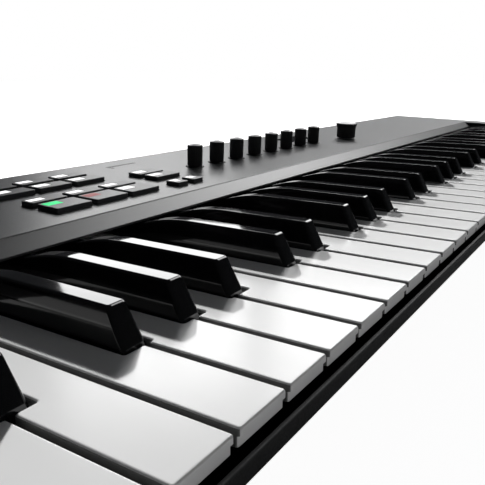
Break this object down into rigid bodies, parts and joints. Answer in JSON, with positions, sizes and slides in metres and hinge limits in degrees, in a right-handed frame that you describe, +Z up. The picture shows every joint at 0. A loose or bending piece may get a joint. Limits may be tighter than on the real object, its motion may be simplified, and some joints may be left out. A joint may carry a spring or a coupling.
{
  "type": "midi keyboard",
  "caption": "Long slim keyboard controller with piano-style keys, a sloping control panel with knobs and flat buttons, a display, two thumb wheels and rubber feet.",
  "frame": {"origin": "on the floor, under the middle of the case's length and depth", "axes": "+X to the right along the keys, +Y to the rear, +Z up"},
  "size_m": [1.006, 0.25, 0.0864],
  "materials": {
    "case_top": "fine satin moulded texture, charcoal",
    "case_bottom": "fine matt moulded texture, black",
    "white_key": "smooth moulded gloss",
    "black_key": "smooth moulded gloss",
    "button": "satin keycap with a small light field",
    "knob": "ribbed grip with a paler cap",
    "encoder": "ribbed grip with a satin cap",
    "wheel": "soft-touch rim",
    "display": "dark polished window",
    "steel": "plain pressed steel",
    "circuit_board": "solder-masked board",
    "socket_metal": "plated shell",
    "jack_plastic": "moulded bush",
    "foot_rubber": "matt rubber"
  },
  "bodies": {
    "case": {"top_case": "case_top", "bottom_case": "case_bottom", "keybed_frame": "steel", "main_board": "circuit_board", "display_window": "display", "usb_socket": "socket_metal", "pedal_jack": "jack_plastic", "foot_front_left": "foot_rubber", "foot_rear_left": "foot_rubber", "foot_front_right": "foot_rubber", "foot_rear_right": "foot_rubber"},
    "key_c2": {"key_c2": "white_key"},
    "key_cs2": {"key_cs2": "black_key"},
    "key_d2": {"key_d2": "white_key"},
    "key_ds2": {"key_ds2": "black_key"},
    "key_e2": {"key_e2": "white_key"},
    "key_f2": {"key_f2": "white_key"},
    "key_fs2": {"key_fs2": "black_key"},
    "key_g2": {"key_g2": "white_key"},
    "key_gs2": {"key_gs2": "black_key"},
    "key_a2": {"key_a2": "white_key"},
    "key_as2": {"key_as2": "black_key"},
    "key_b2": {"key_b2": "white_key"},
    "white_keys_octave_3": {"white_keys_octave_3": "white_key"},
    "white_keys_octave_4": {"white_keys_octave_4": "white_key"},
    "white_keys_octave_5": {"white_keys_octave_5": "white_key"},
    "white_keys_octave_6": {"white_keys_octave_6": "white_key"},
    "black_keys_octave_3": {"black_keys_octave_3": "black_key"},
    "black_keys_octave_4": {"black_keys_octave_4": "black_key"},
    "black_keys_octave_5": {"black_keys_octave_5": "black_key"},
    "black_keys_octave_6": {"black_keys_octave_6": "black_key"},
    "pitch_wheel": {"pitch_wheel": "wheel"},
    "mod_wheel": {"mod_wheel": "wheel"},
    "knob_1": {"knob_1": "knob"},
    "knob_2": {"knob_2": "knob"},
    "knob_3": {"knob_3": "knob"},
    "knob_4": {"knob_4": "knob"},
    "knob_5": {"knob_5": "knob"},
    "knob_6": {"knob_6": "knob"},
    "knob_7": {"knob_7": "knob"},
    "knob_8": {"knob_8": "knob"},
    "encoder_stem": {"encoder_stem": "steel"},
    "encoder_cap": {"encoder_cap": "encoder"},
    "play_button": {"play_button": "button"},
    "record_button": {"record_button": "button"},
    "stop_button": {"stop_button": "button"},
    "loop_button": {"loop_button": "button"},
    "metronome_button": {"metronome_button": "button"},
    "tempo_button": {"tempo_button": "button"},
    "undo_button": {"undo_button": "button"},
    "quantize_button": {"quantize_button": "button"},
    "automation_button": {"automation_button": "button"},
    "shift_button": {"shift_button": "button"},
    "scale_button": {"scale_button": "button"},
    "arpeggio_button": {"arpeggio_button": "button"},
    "preset_down_button": {"preset_down_button": "button"},
    "preset_up_button": {"preset_up_button": "button"},
    "page_left_button": {"page_left_button": "button"},
    "page_right_button": {"page_right_button": "button"},
    "octave_rocker": {"octave_rocker": "button"}
  },
  "joints": [
    {"name": "key_c2_press", "type": "hinge", "parent": "case", "child": "key_c2", "pos_m": [-0.36325, 0.069, 0.0465], "axis": [1, 0, 0], "range_deg": [0, 2.87], "stiffness_Nm_per_rad": 0.9, "springref_deg": -6.88},
    {"name": "key_cs2_press", "type": "hinge", "parent": "case", "child": "key_cs2", "pos_m": [-0.35345, 0.069, 0.0465], "axis": [1, 0, 0], "range_deg": [0, 2.87], "stiffness_Nm_per_rad": 0.6, "springref_deg": -6.88},
    {"name": "key_d2_press", "type": "hinge", "parent": "case", "child": "key_d2", "pos_m": [-0.33975, 0.069, 0.0465], "axis": [1, 0, 0], "range_deg": [0, 2.87], "stiffness_Nm_per_rad": 0.9, "springref_deg": -6.88},
    {"name": "key_ds2_press", "type": "hinge", "parent": "case", "child": "key_ds2", "pos_m": [-0.32605, 0.069, 0.0465], "axis": [1, 0, 0], "range_deg": [0, 2.87], "stiffness_Nm_per_rad": 0.6, "springref_deg": -6.88},
    {"name": "key_e2_press", "type": "hinge", "parent": "case", "child": "key_e2", "pos_m": [-0.31625, 0.069, 0.0465], "axis": [1, 0, 0], "range_deg": [0, 2.87], "stiffness_Nm_per_rad": 0.9, "springref_deg": -6.88},
    {"name": "key_f2_press", "type": "hinge", "parent": "case", "child": "key_f2", "pos_m": [-0.29275, 0.069, 0.0465], "axis": [1, 0, 0], "range_deg": [0, 2.87], "stiffness_Nm_per_rad": 0.9, "springref_deg": -6.88},
    {"name": "key_fs2_press", "type": "hinge", "parent": "case", "child": "key_fs2", "pos_m": [-0.28417, 0.069, 0.0465], "axis": [1, 0, 0], "range_deg": [0, 2.87], "stiffness_Nm_per_rad": 0.6, "springref_deg": -6.88},
    {"name": "key_g2_press", "type": "hinge", "parent": "case", "child": "key_g2", "pos_m": [-0.26925, 0.069, 0.0465], "axis": [1, 0, 0], "range_deg": [0, 2.87], "stiffness_Nm_per_rad": 0.9, "springref_deg": -6.88},
    {"name": "key_gs2_press", "type": "hinge", "parent": "case", "child": "key_gs2", "pos_m": [-0.2575, 0.069, 0.0465], "axis": [1, 0, 0], "range_deg": [0, 2.87], "stiffness_Nm_per_rad": 0.6, "springref_deg": -6.88},
    {"name": "key_a2_press", "type": "hinge", "parent": "case", "child": "key_a2", "pos_m": [-0.24575, 0.069, 0.0465], "axis": [1, 0, 0], "range_deg": [0, 2.87], "stiffness_Nm_per_rad": 0.9, "springref_deg": -6.88},
    {"name": "key_as2_press", "type": "hinge", "parent": "case", "child": "key_as2", "pos_m": [-0.23083, 0.069, 0.0465], "axis": [1, 0, 0], "range_deg": [0, 2.87], "stiffness_Nm_per_rad": 0.6, "springref_deg": -6.88},
    {"name": "key_b2_press", "type": "hinge", "parent": "case", "child": "key_b2", "pos_m": [-0.22225, 0.069, 0.0465], "axis": [1, 0, 0], "range_deg": [0, 2.87], "stiffness_Nm_per_rad": 0.9, "springref_deg": -6.88},
    {"name": "white_keys_octave_3_press", "type": "hinge", "parent": "case", "child": "white_keys_octave_3", "pos_m": [-0.12825, 0.069, 0.0465], "axis": [1, 0, 0], "range_deg": [0, 2.87], "stiffness_Nm_per_rad": 6.3, "springref_deg": -6.88},
    {"name": "white_keys_octave_4_press", "type": "hinge", "parent": "case", "child": "white_keys_octave_4", "pos_m": [0.03625, 0.069, 0.0465], "axis": [1, 0, 0], "range_deg": [0, 2.87], "stiffness_Nm_per_rad": 6.3, "springref_deg": -6.88},
    {"name": "white_keys_octave_5_press", "type": "hinge", "parent": "case", "child": "white_keys_octave_5", "pos_m": [0.20075, 0.069, 0.0465], "axis": [1, 0, 0], "range_deg": [0, 2.87], "stiffness_Nm_per_rad": 6.3, "springref_deg": -6.88},
    {"name": "white_keys_octave_6_press", "type": "hinge", "parent": "case", "child": "white_keys_octave_6", "pos_m": [0.377, 0.069, 0.0465], "axis": [1, 0, 0], "range_deg": [0, 2.87], "stiffness_Nm_per_rad": 7.2, "springref_deg": -6.88},
    {"name": "black_keys_octave_3_press", "type": "hinge", "parent": "case", "child": "black_keys_octave_3", "pos_m": [-0.12764, 0.069, 0.0465], "axis": [1, 0, 0], "range_deg": [0, 2.87], "stiffness_Nm_per_rad": 3, "springref_deg": -6.88},
    {"name": "black_keys_octave_4_press", "type": "hinge", "parent": "case", "child": "black_keys_octave_4", "pos_m": [0.03686, 0.069, 0.0465], "axis": [1, 0, 0], "range_deg": [0, 2.87], "stiffness_Nm_per_rad": 3, "springref_deg": -6.88},
    {"name": "black_keys_octave_5_press", "type": "hinge", "parent": "case", "child": "black_keys_octave_5", "pos_m": [0.20136, 0.069, 0.0465], "axis": [1, 0, 0], "range_deg": [0, 2.87], "stiffness_Nm_per_rad": 3, "springref_deg": -6.88},
    {"name": "black_keys_octave_6_press", "type": "hinge", "parent": "case", "child": "black_keys_octave_6", "pos_m": [0.36586, 0.069, 0.0465], "axis": [1, 0, 0], "range_deg": [0, 2.87], "stiffness_Nm_per_rad": 3, "springref_deg": -6.88},
    {"name": "pitch_wheel_turn", "type": "hinge", "parent": "case", "child": "pitch_wheel", "pos_m": [-0.46255, -0.05, 0.05373], "axis": [-1, 0, 0], "range_deg": [-50, 50], "stiffness_Nm_per_rad": 0.03},
    {"name": "mod_wheel_turn", "type": "hinge", "parent": "case", "child": "mod_wheel", "pos_m": [-0.41855, -0.05, 0.05373], "axis": [-1, 0, 0], "range_deg": [0, 100]},
    {"name": "knob_1_turn", "type": "hinge", "parent": "case", "child": "knob_1", "pos_m": [-0.0755, 0.06448, 0.07032], "axis": [0, -0.0314, 0.9995], "continuous": true},
    {"name": "knob_2_turn", "type": "hinge", "parent": "case", "child": "knob_2", "pos_m": [-0.0499, 0.06448, 0.07032], "axis": [0, -0.0314, 0.9995], "continuous": true},
    {"name": "knob_3_turn", "type": "hinge", "parent": "case", "child": "knob_3", "pos_m": [-0.0243, 0.06448, 0.07032], "axis": [0, -0.0314, 0.9995], "continuous": true},
    {"name": "knob_4_turn", "type": "hinge", "parent": "case", "child": "knob_4", "pos_m": [0.0013, 0.06448, 0.07032], "axis": [0, -0.0314, 0.9995], "continuous": true},
    {"name": "knob_5_turn", "type": "hinge", "parent": "case", "child": "knob_5", "pos_m": [0.0269, 0.06448, 0.07032], "axis": [0, -0.0314, 0.9995], "continuous": true},
    {"name": "knob_6_turn", "type": "hinge", "parent": "case", "child": "knob_6", "pos_m": [0.0525, 0.06448, 0.07032], "axis": [0, -0.0314, 0.9995], "continuous": true},
    {"name": "knob_7_turn", "type": "hinge", "parent": "case", "child": "knob_7", "pos_m": [0.0781, 0.06448, 0.07032], "axis": [0, -0.0314, 0.9995], "continuous": true},
    {"name": "knob_8_turn", "type": "hinge", "parent": "case", "child": "knob_8", "pos_m": [0.1037, 0.06448, 0.07032], "axis": [0, -0.0314, 0.9995], "continuous": true},
    {"name": "encoder_push", "type": "slide", "parent": "case", "child": "encoder_stem", "axis": [0, 0.0314, -0.9995], "range_m": [0, 0.0008], "stiffness_N_per_m": 600, "springref_m": -0.001},
    {"name": "encoder_turn", "type": "hinge", "parent": "encoder_stem", "child": "encoder_cap", "pos_m": [0.161, 0.05698, 0.07009], "axis": [0, -0.0314, 0.9995], "continuous": true},
    {"name": "play_press", "type": "slide", "parent": "case", "child": "play_button", "axis": [0, 0.0314, -0.9995], "range_m": [0, 0.0008], "stiffness_N_per_m": 300, "springref_m": -0.001},
    {"name": "record_press", "type": "slide", "parent": "case", "child": "record_button", "axis": [0, 0.0314, -0.9995], "range_m": [0, 0.0008], "stiffness_N_per_m": 300, "springref_m": -0.001},
    {"name": "stop_press", "type": "slide", "parent": "case", "child": "stop_button", "axis": [0, 0.0314, -0.9995], "range_m": [0, 0.0008], "stiffness_N_per_m": 300, "springref_m": -0.001},
    {"name": "loop_press", "type": "slide", "parent": "case", "child": "loop_button", "axis": [0, 0.0314, -0.9995], "range_m": [0, 0.0008], "stiffness_N_per_m": 300, "springref_m": -0.001},
    {"name": "metronome_press", "type": "slide", "parent": "case", "child": "metronome_button", "axis": [0, 0.0314, -0.9995], "range_m": [0, 0.0008], "stiffness_N_per_m": 300, "springref_m": -0.001},
    {"name": "tempo_press", "type": "slide", "parent": "case", "child": "tempo_button", "axis": [0, 0.0314, -0.9995], "range_m": [0, 0.0008], "stiffness_N_per_m": 300, "springref_m": -0.001},
    {"name": "undo_press", "type": "slide", "parent": "case", "child": "undo_button", "axis": [0, 0.0314, -0.9995], "range_m": [0, 0.0008], "stiffness_N_per_m": 300, "springref_m": -0.001},
    {"name": "quantize_press", "type": "slide", "parent": "case", "child": "quantize_button", "axis": [0, 0.0314, -0.9995], "range_m": [0, 0.0008], "stiffness_N_per_m": 300, "springref_m": -0.001},
    {"name": "automation_press", "type": "slide", "parent": "case", "child": "automation_button", "axis": [0, 0.0314, -0.9995], "range_m": [0, 0.0008], "stiffness_N_per_m": 300, "springref_m": -0.001},
    {"name": "shift_press", "type": "slide", "parent": "case", "child": "shift_button", "axis": [0, 0.0314, -0.9995], "range_m": [0, 0.0008], "stiffness_N_per_m": 300, "springref_m": -0.001},
    {"name": "scale_press", "type": "slide", "parent": "case", "child": "scale_button", "axis": [0, 0.0314, -0.9995], "range_m": [0, 0.0008], "stiffness_N_per_m": 300, "springref_m": -0.001},
    {"name": "arpeggio_press", "type": "slide", "parent": "case", "child": "arpeggio_button", "axis": [0, 0.0314, -0.9995], "range_m": [0, 0.0008], "stiffness_N_per_m": 300, "springref_m": -0.001},
    {"name": "preset_down_press", "type": "slide", "parent": "case", "child": "preset_down_button", "axis": [0, 0.0314, -0.9995], "range_m": [0, 0.0008], "stiffness_N_per_m": 300, "springref_m": -0.001},
    {"name": "preset_up_press", "type": "slide", "parent": "case", "child": "preset_up_button", "axis": [0, 0.0314, -0.9995], "range_m": [0, 0.0008], "stiffness_N_per_m": 300, "springref_m": -0.001},
    {"name": "page_left_press", "type": "slide", "parent": "case", "child": "page_left_button", "axis": [0, 0.0314, -0.9995], "range_m": [0, 0.0008], "stiffness_N_per_m": 300, "springref_m": -0.001},
    {"name": "page_right_press", "type": "slide", "parent": "case", "child": "page_right_button", "axis": [0, 0.0314, -0.9995], "range_m": [0, 0.0008], "stiffness_N_per_m": 300, "springref_m": -0.001},
    {"name": "octave_rocker_tip", "type": "hinge", "parent": "case", "child": "octave_rocker", "pos_m": [-0.44055, 0.03729, 0.06947], "axis": [0, 0.9995, 0.0314], "range_deg": [-2.5, 2.5], "stiffness_Nm_per_rad": 0.5}
  ]
}
